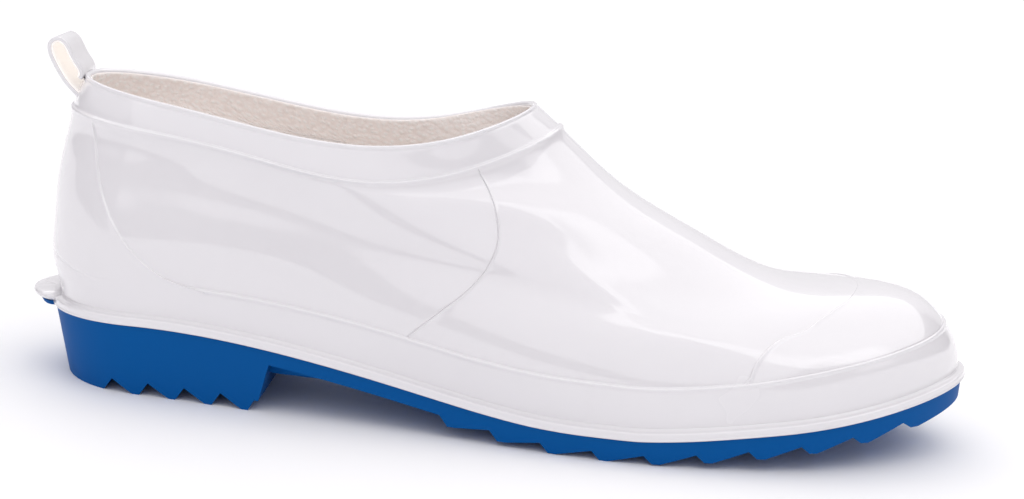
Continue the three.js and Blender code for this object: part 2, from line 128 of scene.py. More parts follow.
def softbox_group():
    """Glow of a large soft box in the room: 1 inside a rounded rectangle of directions, 0 outside."""
    tree, given = new_group("softbox", {"Direction": "Vector", "Width": 1.0, "Height": 1.0, "Edge": 0.2},
                            {"Glow": "Float"})
    parts = add_node(tree, "ShaderNodeSeparateXYZ", {0: given["Direction"]}).outputs
    least_ahead = 0.02
    ahead = compute(tree, "MAXIMUM", parts["Z"], least_ahead)
    glow = compute(tree, "GREATER_THAN", parts["Z"], 0.0)
    for axis, size in (("X", "Width"), ("Y", "Height")):
        away = compute(tree, "ABSOLUTE", compute(tree, "DIVIDE", parts[axis], ahead))
        inner = compute(tree, "SUBTRACT", given[size], given["Edge"])
        fall = {"Value": away, "From Min": inner, "From Max": given[size], "To Min": 1.0, "To Max": 0.0}
        side = add_node(tree, "ShaderNodeMapRange", fall, interpolation_type="SMOOTHSTEP")
        glow = compute(tree, "MULTIPLY", glow, side.outputs["Result"])
    add_node(tree, "NodeGroupOutput", {"Glow": glow})
    return tree


# Soft boxes and dark cards of the room: where each is, in degrees round from the outer side
# (+ towards the toe) and up, its half width, half height and soft edge, and the light it adds.
# A card takes light away, which draws the ends of the shoe against the white floor.
softboxes = [
    ("overhead", 150, 74, 1.2, 0.8, 0.05, (1.0, 1.0, 0.99), 1.42),
    ("rear", 180, 14, 0.85, 0.6, 0.15, (1.0, 1.0, 1.0), 0.55),
    ("front", -8, 38, 0.62, 0.6, 0.05, (0.99, 0.985, 1.0), 0.88),
    ("toe side", 62, 34, 0.24, 0.55, 0.1, (1.0, 1.0, 1.0), 0.9),
    ("heel side", -78, 36, 0.75, 0.55, 0.15, (0.99, 0.98, 1.0), 0.45),
    ("heel card", -150, 12, 0.5, 0.6, 0.3, (0.95, 1.0, 0.95), -0.38),
    ("toe card", 130, 24, 0.38, 0.42, 0.05, (0.95, 1.0, 0.92), -0.4)]
world = bpy.data.worlds.new("pale room")
world.use_nodes = True
room = world.node_tree
direction = add_node(room, "ShaderNodeTexCoord").outputs["Generated"]
softbox = softbox_group()
base_light, room_strength = (0.42, 0.4, 0.43, 1), 0.8
light_sum = add_node(room, "ShaderNodeRGB").outputs[0]
light_sum.default_value = base_light
for name, round_angle, up_angle, wide, tall, edge, colour, power in softboxes:
    face = towards(round_angle, up_angle)
    across = Vector((0, 0, 1)).cross(face).normalized()
    turned = [compute(room, "DOT_PRODUCT", direction, axis, kind=VECTORS, out="Value")
              for axis in (across, face.cross(across), face)]
    local = add_node(room, "ShaderNodeCombineXYZ", dict(enumerate(turned)))
    glow = add_node(room, "ShaderNodeGroup", {"Direction": local.outputs[0], "Width": wide, "Height": tall,
                                              "Edge": edge}, node_tree=softbox, label=name)
    light_sum = add_node(room, "ShaderNodeMix", {0: glow.outputs["Glow"], "A": light_sum,
                                                 "B": (*[power * part for part in colour], 1)},
                         data_type="RGBA", blend_type="ADD").outputs["Result"]
background = room.nodes["Background"]
room.links.new(light_sum, background.inputs["Color"])
background.inputs["Strength"].default_value = room_strength
bpy.context.scene.world = world

# Outsole: one piece of blue moulded plastic with a deep heel, saw-toothed lugs right across, a
# hollow waist and a stiffening block behind the heel's breast. It is moulded on under the welt.
# The shape of the last, which every other piece follows, is worked out here, in millimetres.
MM = 0.001
length, ball_width = 300, 106
toe_bend, heel_bulge, heel_round, toe_round = 7.9, 1.2, 33, 60
sole_depth, plate_depth, heel_lift, toe_spring, sole_inset = 7.3, 4.5, 14.7, 16.5, 1
heel_pitch, heel_groove, heel_teeth, heel_land_end, heel_tooth_flat = 12.1, 4.4, 4, 23, 2.2
toe_land, fore_teeth, fore_first_tip, fore_tooth_flat, tooth_run = 18.65, 10, 136, 2.4, 2.8
lip_height, lip_run, lip_flat = 3.5, 1.8, 1.45
fore_taper, heel_taper, heel_taper_end = 1.6, 4.4, 72
shank_drop, shank_inset, shank_draft, shank_lap, shank_length = 5, 8, 2, 3, 32
spur_reach, spur_width, spur_depth, spur_raise = 7.4, 28, 2, 0.8

# Outline at the top of the sole: station, half widths to the outer and inner side as shares of
# ball_width, and how far that line is lifted, as shares of heel_lift and toe_spring
plan_at, plan_outer, plan_inner, plan_heel, plan_toe = zip(
    (0.0, 0.32, 0.32, 1.0, 0.0),
    (0.12, 0.325, 0.321, 1.088, 0.0),
    (0.3, 0.361, 0.292, 0.776, 0.0),
    (0.42, 0.404, 0.278, 0.381, 0.0),
    (0.54, 0.464, 0.344, 0.041, 0.0),
    (0.65, 0.496, 0.439, 0.0, 0.0),
    (0.76, 0.474, 0.472, 0.0, 0.206),
    (0.88, 0.413, 0.425, 0.0, 0.527),
    (1.0, 0.347, 0.349, 0.0, 1.0))


def spline_bends(stations, values):
    """Second derivatives of natural cubic curves: stations (..., n) and values (..., n, k)."""
    steps = np.diff(stations, axis=-1)
    count = stations.shape[-1]
    matrix = np.zeros(stations.shape + (count,))
    right = np.zeros(values.shape)
    matrix[..., 0, 0] = matrix[..., -1, -1] = 1
    slopes = np.diff(values, axis=-2) / steps[..., None]
    for i in range(1, count - 1):
        matrix[..., i, i - 1] = steps[..., i - 1]
        matrix[..., i, i] = 2 * (steps[..., i - 1] + steps[..., i])
        matrix[..., i, i + 1] = steps[..., i]
        right[..., i, :] = 6 * (slopes[..., i, :] - slopes[..., i - 1, :])
    return np.linalg.solve(matrix, right)


def smooth(stations, values):
    """Smooth curve through values at stations, with straight ends."""
    stations = np.asarray(stations, float)
    values = np.asarray(values, float)
    bends = spline_bends(stations, values[:, None])[:, 0]

    def curve(x):
        x = np.asarray(x, float)
        i = np.clip(np.searchsorted(stations, x, side="left") - 1, 0, len(stations) - 2)
        span = stations[i + 1] - stations[i]
        high = (x - stations[i]) / span
        low = 1 - high
        curl = ((low ** 3 - low) * bends[i] + (high ** 3 - high) * bends[i + 1]) * span ** 2 / 6
        return low * values[i] + high * values[i + 1] + curl
    return curve


outer_half, inner_half = smooth(plan_at, plan_outer), smooth(plan_at, plan_inner)
heel_share, toe_share = smooth(plan_at, plan_heel), smooth(plan_at, plan_toe)


def centre(x):
    """Sideways bend of the foot's centre line towards the inner side."""
    return toe_bend * (np.maximum(x, 0) / length) ** 2


def seat(x):
    """Height of the top of the sole, where the blue sole meets the white welt."""
    share = np.clip(x / length, 0, 1)
    return (sole_depth + np.maximum(0, heel_lift * heel_share(share))
            + np.maximum(0, toe_spring * toe_share(share)))


def station(turn):
    """A full turn runs from the back of the heel along the outer side to the toe and back."""
    whole = turn - np.floor(turn)
    return (1 - np.cos(2 * np.pi * whole)) / 2, np.where(whole <= 0.5, -1, 1)


def rounding(distance, radius):
    """Share of the full width at a distance from an end that is rounded by a radius."""
    left = 1 - np.clip(distance / radius, 0, 1)
    return np.sqrt(np.maximum(0, 1 - left * left))


def outline_point(turn):
    """Point of the sole's outline at each turn."""
    share, side = station(turn)
    half = ball_width * np.where(side < 0, outer_half(share), inner_half(share))
    ends = rounding(share * length, heel_round) * rounding((1 - share) * length, toe_round)
    x = (length + heel_bulge) * share - heel_bulge
    return np.stack([x, centre(length * share) + side * half * ends], -1)


def outline(turn, inset):
    """Outline of the sole moved inwards by an inset, one for all or one for each turn."""
    step = 0.002
    along = outline_point(turn + step) - outline_point(turn - step)
    along /= np.linalg.norm(along, axis=-1, keepdims=True)
    inwards = np.stack([-along[..., 1], along[..., 0]], -1)
    return outline_point(turn) + inwards * np.asarray(inset)[..., None]


all_turns = np.linspace(0, 1, 2001)
origin = np.array([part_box("welt")[0][0] / MM + spur_reach + heel_bulge,
                   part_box("welt")[0][1] / MM - outline(all_turns, 0)[:, 1].min(), 0])


def grid_faces(rows, columns, ring_rows=False, ring_columns=True):
    """Quads of a grid of points, row by row; either way may close on itself."""
    down_count, across_count = rows - (not ring_rows), columns - (not ring_columns)
    down, across = np.meshgrid(np.arange(down_count), np.arange(across_count), indexing="ij")
    next_down = (down + 1) % rows * columns
    next_across = (across + 1) % columns
    down = down * columns
    quads = np.stack([down + across, down + next_across, next_down + next_across, next_down + across], -1)
    return quads.reshape(-1, 4).tolist()


def close_across(count, *firsts):
    """Faces that close rings of count points, from one side of each to the other."""
    faces = []
    for first in firsts:
        for i in range(count // 2):
            corners = (i, i + 1, (count - i - 1) % count, (count - i) % count)
            faces.append([first + corner for corner in dict.fromkeys(corners)])
    return faces


def finish_piece(made):
    """Merges a piece's doubles, turns its faces outwards and lets it ride on the shoe."""
    work = bmesh.new()
    work.from_mesh(made.data)
    bmesh.ops.remove_doubles(work, verts=work.verts, dist=1e-7)
    bmesh.ops.recalc_face_normals(work, faces=work.faces)
    work.to_mesh(made.data)
    work.free()
    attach(made, "root")
    return made


def make_piece(name, shells, material, marks=None):
    """A smooth mesh from shells of (points in mm, faces); marks gives each corner's UV by point."""
    points, faces = [], []
    for shell_points, shell_faces in shells:
        first = sum(len(block) for block in points)
        points.append(np.asarray(shell_points, float).reshape(-1, 3))
        faces += [[corner + first for corner in face] for face in shell_faces]
    mesh = bpy.data.meshes.new(name)
    mesh.from_pydata(((np.concatenate(points) + origin) * MM).tolist(), [], faces)
    if marks is not None:
        corners = np.zeros(len(mesh.loops), int)
        mesh.loops.foreach_get("vertex_index", corners)
        mesh.uv_layers.new(name="surface").data.foreach_set("uv", np.asarray(marks)[corners].ravel())
    mesh.shade_smooth()
    mesh.materials.append(material)
    made = bpy.data.objects.new(name, mesh)
    bpy.context.collection.objects.link(made)
    return finish_piece(made)


def soften(made, width, angle):
    """Rounds the sharp edges of a piece by a small bevel and keeps its flat faces flat."""
    bevel = made.modifiers.new("rounded edges", "BEVEL")
    bevel.width = width * MM
    bevel.segments = 2
    bevel.limit_method = "ANGLE"
    bevel.angle_limit = math.radians(angle)
    bevel.use_clamp_overlap = True
    flat = made.modifiers.new("flat faces", "WEIGHTED_NORMAL")
    flat.keep_sharp = True


heel_end = heel_land_end + heel_teeth * heel_pitch
fore_pitch = (length - toe_land - fore_first_tip) / (fore_teeth - 1)
breast = heel_end + heel_pitch / 2
reach = length + spur_reach


def tread_line():
    """Underside in side view as x, z pairs from the heel to the toe."""
    points = [(-reach, 0), (heel_land_end, 0)]
    for i in range(1, heel_teeth + 1):
        end = heel_land_end + i * heel_pitch
        points += [(end - heel_pitch + tooth_run, heel_groove), (end - heel_tooth_flat, 0), (end, 0)]
    points += [(heel_end + lip_run, lip_height), (heel_end + lip_run + lip_flat, lip_height)]
    waist_steps = 12
    for i in range(waist_steps):
        x = breast + (fore_first_tip - tooth_run - breast) * i / waist_steps
        points.append((x, seat(x) - plate_depth))
    for i in range(fore_teeth):
        tip = fore_first_tip + i * fore_pitch
        low = max(0, seat(tip + fore_tooth_flat / 2) - sole_depth)
        root = tip - tooth_run
        points += [(root, seat(root) - plate_depth), (tip, low), (tip + fore_tooth_flat, low)]
    points += [(length, seat(length) - plate_depth - tooth_run / 2), (reach, seat(length) - plate_depth)]
    return np.array(points, float)


tread = tread_line()


def sole_edge(turn):
    """Bottom edge of the sole's side, where its taper meets the tread."""
    share, _ = station(turn)
    lower = fore_taper + heel_taper * np.maximum(0, 1 - share * length / heel_taper_end)
    spot = outline(turn, lower)
    for _ in range(3):
        height = np.interp(spot[:, 0], tread[:, 0], tread[:, 1])
        up = height / seat(spot[:, 0])
        spot = outline(turn, lower + (sole_inset - lower) * up)
    return np.column_stack([spot, np.interp(spot[:, 0], tread[:, 0], tread[:, 1])])


def sole_shell():
    """Closed side wall between tread and seat, with columns on every corner of the tread."""
    half_turns = np.linspace(0, 0.5, 4001)
    edges = [sole_edge(half_turns), sole_edge(1 - half_turns[::-1])[::-1]]
    ends = max(edge[0, 0] for edge in edges), min(edge[-1, 0] for edge in edges)
    columns = 150
    even = ends[0] + (ends[1] - ends[0]) * (1 - np.cos(np.pi * np.arange(1, columns) / columns)) / 2
    corners = tread[(tread[:, 0] > ends[0] + 1) & (tread[:, 0] < ends[1] - 1), 0]
    apart = np.abs(even[:, None] - corners[None, :]).min(1) > 0.5
    stations = np.sort(np.concatenate([even[apart], corners]))
    outer = np.concatenate([[0], np.interp(stations, edges[0][:, 0], half_turns), [0.5]])
    inner = 1 - np.interp(stations, edges[1][:, 0], half_turns)[::-1]
    turns = np.concatenate([outer, inner])
    low = sole_edge(turns)
    top_spot = outline(turns, sole_inset)
    top = np.column_stack([top_spot, seat(top_spot[:, 0])])
    levels = np.linspace(0, 1, 7)
    side = low + (top - low) * levels[:, None, None]
    count = len(turns)
    return side, grid_faces(len(levels), count) + close_across(count, 0, (len(levels) - 1) * count)


def shank_shell():
    """Stiffening block in the hollow of the waist, behind the heel's breast."""
    along = [-shank_lap, shank_draft, *(shank_length * np.array([0.25, 0.5, 0.75, 1]))]
    drops = shank_drop * np.array([1, 1, 0.82, 0.6, 0.28, -0.06])
    half_turns = np.linspace(0.05, 0.45, 2001)
    rows = []
    for x, drop in zip(breast + np.array(along), drops):
        corners = []
        for draft, depth in ((shank_draft, drop), (-shank_draft, -plate_depth / 2)):
            for turns in (half_turns, 1 - half_turns):
                line = outline(turns, shank_inset + draft)
                corners.append((x, np.interp(x, line[:, 0], line[:, 1]), seat(x) - plate_depth - depth))
        rows.append([corners[0], corners[1], corners[3], corners[2]])
    ends = [[0, 1, 2, 3], [len(rows) * 4 - corner for corner in (4, 3, 2, 1)]]
    return np.array(rows), grid_faces(len(rows), 4) + ends


def tab_shell(low, profile):
    """Rounded tongue behind the heel, from pairs of height above low and inset from its outline."""
    pointedness = 1.25
    angles = np.linspace(np.pi / 2, 3 * np.pi / 2, 41)
    rows = []
    for up, draw in profile:
        x = (spur_reach + heel_bulge - draw) * np.cos(angles)
        y = (spur_width / 2 - draw) * np.sign(np.sin(angles)) * np.abs(np.sin(angles)) ** pointedness
        x = np.concatenate([x, [heel_round / 8, heel_round / 8]])
        y = np.concatenate([y, [y[-1], y[0]]])
        rows.append(np.column_stack([x, y, np.full(len(x), low + up)]))
    count = len(rows[0])
    ends = [[first + i for i in range(count)] for first in (0, (len(rows) - 1) * count)]
    return np.array(rows), grid_faces(len(rows), count) + ends


def noise(tree, place, size, detail):
    """Outputs of a noise texture of one size and depth of detail."""
    return add_node(tree, "ShaderNodeTexNoise", {"Vector": place, "Scale": size, "Detail": detail}).outputs


def moulded_skin_group():
    """Skin of moulded plastic: slow waves of the surface, a fine grain, and a slow change of tone."""
    tree, given = new_group(
        "moulded skin", {"Wave": 0.5, "Wave Size": 40, "Grain": 0.1, "Grain Size": 1500},
        {"Height": "Float", "Tone": "Float"})
    place = add_node(tree, "ShaderNodeTexCoord").outputs["Object"]
    wave = compute(tree, "MULTIPLY", noise(tree, place, given["Wave Size"], 1)["Fac"], given["Wave"])
    grain = compute(tree, "MULTIPLY", noise(tree, place, given["Grain Size"], 2)["Fac"], given["Grain"])
    tone_size = 18
    add_node(tree, "NodeGroupOutput", {"Height": compute(tree, "ADD", wave, grain),
                                       "Tone": noise(tree, place, tone_size, 3)["Fac"]})
    return tree


moulded_skin = moulded_skin_group()


def tone_and_bump(tree, shader, share, dark, light, strength, depth, height):
    """Gives a shader its colour, between two tones by a share, and its bump from a height."""
    tone = add_node(tree, "ShaderNodeMix", {0: share, "A": (*dark, 1), "B": (*light, 1)}, data_type="RGBA")
    tree.links.new(tone.outputs["Result"], shader.inputs["Base Color"])
    bump = add_node(tree, "ShaderNodeBump", {"Strength": strength, "Distance": depth, "Height": height})
    tree.links.new(bump.outputs["Normal"], shader.inputs["Normal"])


def plastic_material(name, dark, light, roughness, wave, grain, coat, **fixed):
    """Moulded plastic between two tones, with its waves and grain as bump."""
    material, tree, shader = new_material(name, Coat_Weight=coat, Coat_Roughness=0.03, **fixed)
    skin_node = add_node(tree, "ShaderNodeGroup", {"Wave": wave, "Grain": grain}, node_tree=moulded_skin)
    tone = skin_node.outputs["Tone"]
    smoothest, roughest = roughness * 0.85, roughness * 1.2
    rough = add_node(tree, "ShaderNodeMapRange", {"Value": tone, "To Min": smoothest, "To Max": roughest})
    tree.links.new(rough.outputs["Result"], shader.inputs["Roughness"])
    tone_and_bump(tree, shader, tone, dark, light, 1.0, MM, skin_node.outputs["Height"])
    return material


blue_plastic = plastic_material("blue sole plastic", (0.0004, 0.086, 0.31), (0.0007, 0.094, 0.335),
                                roughness=0.45, wave=0.2, grain=0.02, coat=0.0, Specular_IOR_Level=0.07)
spur_foot = tab_shell(seat(0) + spur_raise - spur_depth,
                      [(0.3, 4.2), (0.5, 3.6), (0.9, 3.1), (1.9, 2.5), (2.0, 2.7)])
outsole = make_piece("blue_sole", [sole_shell(), shank_shell(), spur_foot], blue_plastic)
soften(outsole, 0.4, 28)
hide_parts("outsole")

# Welt: a white rim all round on the edge of the sole, with a soft lip at its foot and a slope up to
# the upper. At the back it carries the white top of the kick-off spur.
welt_ledge, clearance, spur_thickness = 3, 0.3, 3.1
welt_section = [  # inset from the outline and height above the seat
    (0.6, 0.0), (0.22, 0.06), (0.03, 0.24), (0.0, 0.45), (0.06, 0.64), (0.2, 0.8), (0.26, 1.05),
    (0.27, 1.6), (0.27, 2.1), (0.34, 2.4), (0.55, 2.62), (0.9, 2.74), (1.5, 2.86), (2.05, 3.02),
    (2.4, 3.3), (2.62, 3.8), (3.4, 3.9), (3.6, 3.4), (3.6, 0.0)]
welt_turns = np.arange(480) / 480
welt_rows = []
for inset, up in welt_section:
    spot = outline(welt_turns, inset)
    base = outline(welt_turns, min(inset, welt_ledge))
    welt_rows.append(np.column_stack([spot, seat(base[:, 0]) + clearance + up]))
white_plastic = plastic_material("white moulded plastic", (0.79, 0.772, 0.793), (0.82, 0.808, 0.824),
                                 roughness=0.25, wave=0.6, grain=0.003, coat=1.0, Coat_IOR=1.7)
spur_top = tab_shell(seat(0) + clearance + spur_raise,
                     [(0, 2.7), (0.15, 2.2), (0.6, 1.3), (1.0, 0.6), (1.4, 0.15), (1.75, 0), (2.1, 0.08),
                      (2.4, 0.35), (2.65, 0.85), (2.85, 1.7), (3.0, 3.0), (spur_thickness, 5.0)])
welt_rim = np.array(welt_rows), grid_faces(len(welt_rows), len(welt_turns), ring_rows=True)
welt = make_piece("white_welt", [welt_rim, spur_top], white_plastic)
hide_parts("welt")

# Upper: one shell of white glossy plastic, moulded in one shot. A bead marks the foxing line above
# the sole, another the foot of the collar band, and a fine groove the edge of the quarter. The heel
# counter is a plate raised behind a curved edge that climbs from the foxing line to the collar.
wall, collar_rise, foxing_rise = 2.3, 76, 18
panel_depth, band_depth, welt_height, foxing_draft = 0.5, 0.4, 3.7, 0.4
FOXING, RIDGE, RIM = 2, 8, 9  # three of the ten rings, counted up from the sole

# Rings from the foxing line to the rim: back, front and round as shares of length, then the half
# widths at heel, waist, ball and toe, to the outer and the inner side, as shares of ball_width
ring_plan = [
    (-0.006, 0.971, 0.213, (0.306, 0.361, 0.472, 0.429), (0.304, 0.281, 0.41, 0.44)),
    (-0.006, 0.948, 0.247, (0.302, 0.344, 0.439, 0.387), (0.302, 0.292, 0.396, 0.406)),
    (-0.005, 0.896, 0.267, (0.286, 0.321, 0.387, 0.382), (0.286, 0.295, 0.368, 0.396)),
    (-0.002, 0.8, 0.24, (0.27, 0.302, 0.358, 0.344), (0.27, 0.292, 0.344, 0.349)),
    (0.002, 0.7, 0.21, (0.26, 0.29, 0.325, 0.302), (0.26, 0.288, 0.311, 0.307)),
    (0.006, 0.61, 0.17, (0.253, 0.285, 0.302, 0.274), (0.253, 0.283, 0.292, 0.274)),
    (0.009, 0.538, 0.127, (0.255, 0.276, 0.292, 0.253), (0.255, 0.276, 0.292, 0.253)),
    (0.021, 0.508, 0.097, (0.231, 0.253, 0.264, 0.255), (0.231, 0.253, 0.264, 0.255))]

# Rise of each ring above the seat at back, heel, waist, ball, toe and front. The first row holds
# shares of foxing_rise and the others shares of collar_rise
ring_rise = [
    (0.89, 0.85, 0.94, 0.87, 0.99, 1.1),
    (0.37, 0.35, 0.385, 0.385, 0.36, 0.365),
    (0.505, 0.49, 0.51, 0.505, 0.43, 0.457),
    (0.62, 0.605, 0.59, 0.605, 0.55, 0.522),
    (0.71, 0.7, 0.665, 0.722, 0.745, 0.72),
    (0.785, 0.765, 0.73, 0.785, 0.89, 0.92),
    (0.86, 0.83, 0.785, 0.795, 0.965, 1.135),
    (1.0, 0.965, 0.91, 0.93, 1.065, 1.215)]
ring_stations = (0, 0.12, 0.38, 0.65, 0.86, 1)


def ring_points(turn):
    """Where the rib at each turn crosses the ten rings."""
    rows = []
    for lift, inset in ((clearance, welt_ledge), (welt_height + clearance, welt_ledge - foxing_draft)):
        spot = outline(turn, inset)
        rows.append(np.column_stack([spot, seat(spot[:, 0]) + lift]))
    share, side = station(turn)
    for (back, front, round_share, outer, inner), rises in zip(ring_plan, ring_rise):
        span = (front - back) * length
        x = back * length + span * share
        widths = [smooth(ring_stations, (row[0], *row, row[-1]))(share) for row in (outer, inner)]
        half = ball_width * np.where(side < 0, *widths)
        ends = rounding(share * span, heel_round) * rounding((1 - share) * span, round_share * length)
        unit = foxing_rise if rises is ring_rise[0] else collar_rise
        rows.append(np.column_stack([x, centre(x) + side * half * ends,
                                     seat(x) + unit * smooth(ring_stations, rises)(share)]))
    return np.stack(rows, 1)


rib_count = 3000
rib_points = ring_points(np.arange(rib_count + 1) / rib_count)
rib_run = np.concatenate([np.zeros((rib_count + 1, 1)),
                          np.cumsum(np.linalg.norm(np.diff(rib_points, axis=1), axis=2), axis=1)], 1)
rib_bends = spline_bends(rib_run, rib_points)


def ribs(turn):
    """The curves up the upper's side at these turns, through every ring."""
    place = (turn - np.floor(turn)) * rib_count
    low = np.minimum(place.astype(int), rib_count - 1)
    share = (place - low)[:, None]
    run = rib_run[low] * (1 - share) + rib_run[low + 1] * share
    share = share[..., None]
    return (run, rib_points[low] * (1 - share) + rib_points[low + 1] * share,
            rib_bends[low] * (1 - share) + rib_bends[low + 1] * share)


def up_rib(rib, ring, up):
    """Points on the ribs, one row of rings for each rib, and some millimetres further up."""
    run, points, bends = rib
    low = np.clip(np.floor(ring), 0, RIM - 1).astype(int)
    at = np.take_along_axis
    from_run = at(run, low, 1)
    s = from_run + (ring - low) * (at(run, low + 1, 1) - from_run) + up
    i = np.clip((s[:, :, None] > run[:, None, 1:-1]).sum(2), 0, run.shape[1] - 2)
    start, span = at(run, i, 1), at(run, i + 1, 1) - at(run, i, 1)
    high = ((s - start) / span)[..., None]
    low_share = 1 - high

    def pick(table, index):
        return at(table, index[..., None], 1)
    curl = ((low_share ** 3 - low_share) * pick(bends, i) + (high ** 3 - high) * pick(bends, i + 1))
    return low_share * pick(points, i) + high * pick(points, i + 1) + curl * (span ** 2)[..., None] / 6


def skin(turn, ring, up=0, lift=0):
    """Points of the upper's outer form: turn (n), and ring, up and lift (n, m), lifted outwards."""
    ring = np.broadcast_to(ring, (len(turn), np.shape(ring)[-1])).astype(float)
    up = np.broadcast_to(up, ring.shape)
    lift = np.broadcast_to(lift, ring.shape)
    step, half_rise = 0.004, 0.5
    middle = ribs(turn)
    point = up_rib(middle, ring, up)
    along = up_rib(ribs(turn + step), ring, up) - up_rib(ribs(turn - step), ring, up)
    rise = up_rib(middle, ring, up + half_rise) - up_rib(middle, ring, up - half_rise)
    outward = np.cross(along, rise)
    outward[..., 2] = np.where(ring < 1, 0, outward[..., 2])
    outward /= np.linalg.norm(outward, axis=-1, keepdims=True)
    return point + outward * lift[..., None]


def from_foxing(turn, ring):
    """Millimetres up the rib from the foxing line to a ring."""
    run = ribs(turn)[0]
    low = np.clip(np.floor(ring), 0, RIM - 1).astype(int)
    each = np.arange(len(turn))
    return run[each, low] + (ring - low) * (run[each, low + 1] - run[each, low]) - run[each, FOXING]


def on_form(target, turn, up):
    """Turn and height of the points of the form nearest to the targets, from a first guess."""
    turn_step, up_step, most_turn, most_up = 0.001, 0.1, 0.02, 4
    for _ in range(12):
        here = skin(turn, [[FOXING]], up[:, None])[:, 0]
        by_turn = (skin(turn + turn_step, [[FOXING]], up[:, None])[:, 0] - here) / turn_step
        by_up = (skin(turn, [[FOXING]], up[:, None] + up_step)[:, 0] - here) / up_step
        slopes = np.stack([by_turn, by_up], -1)
        square = np.einsum("nij,nik->njk", slopes, slopes) + np.eye(2) * 1e-9
        move = np.linalg.solve(square, np.einsum("nij,ni->nj", slopes, target - here)[..., None])[..., 0]
        turn = turn + np.clip(move[:, 0], -most_turn, most_turn)
        up = up + np.clip(move[:, 1], -most_up, most_up)
    return turn, up


# Lines on the outer side in side view, mirrored to the inner side: distance from the heel and rise
# above the seat, as shares of length and collar_rise, from the foxing line up to the collar
quarter_edge = [(0.4, 0.205), (0.409, 0.25), (0.4252, 0.321), (0.4377, 0.376), (0.4501, 0.427),
                (0.4609, 0.474), (0.4701, 0.522), (0.4779, 0.569), (0.4835, 0.619), (0.4874, 0.669),
                (0.4885, 0.709), (0.4872, 0.751), (0.4844, 0.793), (0.4806, 0.833), (0.4758, 0.8645),
                (0.4701, 0.893), (0.4648, 0.918), (0.461, 0.937), (0.455, 0.965)]
counter_edge = [(0.185, 0.188), (0.1685, 0.1965), (0.1517, 0.208), (0.1342, 0.233), (0.1165, 0.2765),
                (0.1031, 0.322), (0.0913, 0.376), (0.08, 0.4376), (0.0716, 0.499), (0.0645, 0.561),
                (0.0593, 0.632), (0.0556, 0.6955), (0.0519, 0.758), (0.0489, 0.802), (0.046, 0.85)]
# How far the foxing bead sways up from its ring on the way round: turn and millimetres
foxing_sway = smooth(*zip((0, 2.4), (0.045, 1.8), (0.066, -0.1), (0.085, -1.4), (0.11, -1.5), (0.15, -1.0),
                          (0.19, -1.0), (0.22, -0.7), (0.245, -0.1), (0.28, 1.3), (0.306, 1.0), (0.34, 0.2),
                          (0.37, 0.45), (0.41, 0.7), (0.46, 0.2), (0.5, 0)))

# Rows up the outside: ring, millimetres up from it, and the lift off the form on the panels and on
# the heel counter
outside_rows = [(ring, 0, 0, 0) for ring in (0, 0.3, 0.6, 0.9, 1.05, 1.2, 1.35, 1.5, 1.62, 1.72)]
outside_rows += [(FOXING, *row) for row in (
    (-2.4, 0, 0), (-1.9, 0, 0), (-1.4, 0.02, 0), (-1.0, 0.08, -0.02), (-0.74, 0.19, -0.05),
    (-0.5, 0.3, -0.11), (-0.24, 0.37, -0.19), (0.02, 0.36, -0.24), (0.22, 0.24, -0.25),
    (0.36, 0.03, -0.21), (0.48, -0.24, -0.16), (0.6, -0.45, -0.11), (0.78, -0.55, -0.06),
    (1.1, -0.54, -0.02), (1.6, -0.5, 0))]
panel_rows = 64
panel_first = len(outside_rows)
outside_rows += [(FOXING, 0, -panel_depth, 0)] * panel_rows
outside_rows += [(RIDGE, *row) for row in (
    (-4.4, -0.5, 0), (-3.5, -0.48, 0.01), (-2.8, -0.41, 0.04), (-2.15, -0.27, 0.09), (-1.6, -0.06, 0.17),
    (-1.15, 0.18, 0.3), (-0.78, 0.38, 0.43), (-0.44, 0.52, 0.53), (-0.12, 0.56, 0.56), (0.16, 0.49, 0.49),
    (0.38, 0.31, 0.31), (0.56, 0.06, 0.06), (0.72, -0.18, -0.18), (0.94, -0.34, -0.34), (1.3, -0.4, -0.4),
    (1.9, -0.4, -0.4))]
outside_rows += [(ring, 0, -band_depth, -band_depth) for ring in (8.3, 8.42, 8.54, 8.66, 8.76)]
outside_rows += [(RIM, up, lift, lift) for up, lift in (
    (-2.2, -0.4), (-1.85, -0.43), (-1.6, -0.52), (-1.4, -0.55), (-1.22, -0.48), (-1.02, -0.34),
    (-0.75, -0.26), (-0.42, -0.28), (-0.18, -0.4), (-0.04, -0.62), (0.02, -0.92), (0.02, -1.3),
    (-0.04, -1.65), (-0.2, -1.95), (-0.45, -2.16), (-0.85, -2.28), (-1.4, -wall))]
inside_rows = [(ring, 0, -wall, -wall) for ring in np.arange(8.7, 0, -0.3)] + [(0, 0, -wall, -wall)]
rows = np.array(outside_rows + inside_rows, float)
is_panel = np.zeros(len(rows), bool)
is_panel[panel_first:panel_first + panel_rows] = True
panel_share = np.zeros(len(rows))
panel_share[is_panel] = np.arange(1, panel_rows + 1) / (panel_rows + 1)


def ease(share):
    """A share from 0 to 1 with a soft start and end."""
    return share ** 2 * (3 - 2 * share)


def row_heights(turn):
    """Ring and height above it of every row at each turn (n, rows), with the foxing's sway."""
    ring = np.broadcast_to(rows[:, 0], (len(turn), len(rows)))
    near_foxing = ease(np.clip((ring - 1) / 0.75, 0, 1))
    sway = foxing_sway(np.minimum(turn % 1, 1 - turn % 1))[:, None]
    tall = from_foxing(turn, np.full(len(turn), float(RIDGE)))[:, None]
    foot_gap, head_gap = 2.1, 5
    first, last = foot_gap + sway, tall - head_gap
    panel_up = first + (last - first) * panel_share[None, :]
    plain_up = rows[None, :, 1] + np.where(rows[None, :, 0] <= FOXING, sway * near_foxing, 0)
    return ring, np.where(is_panel[None, :], panel_up, plain_up)


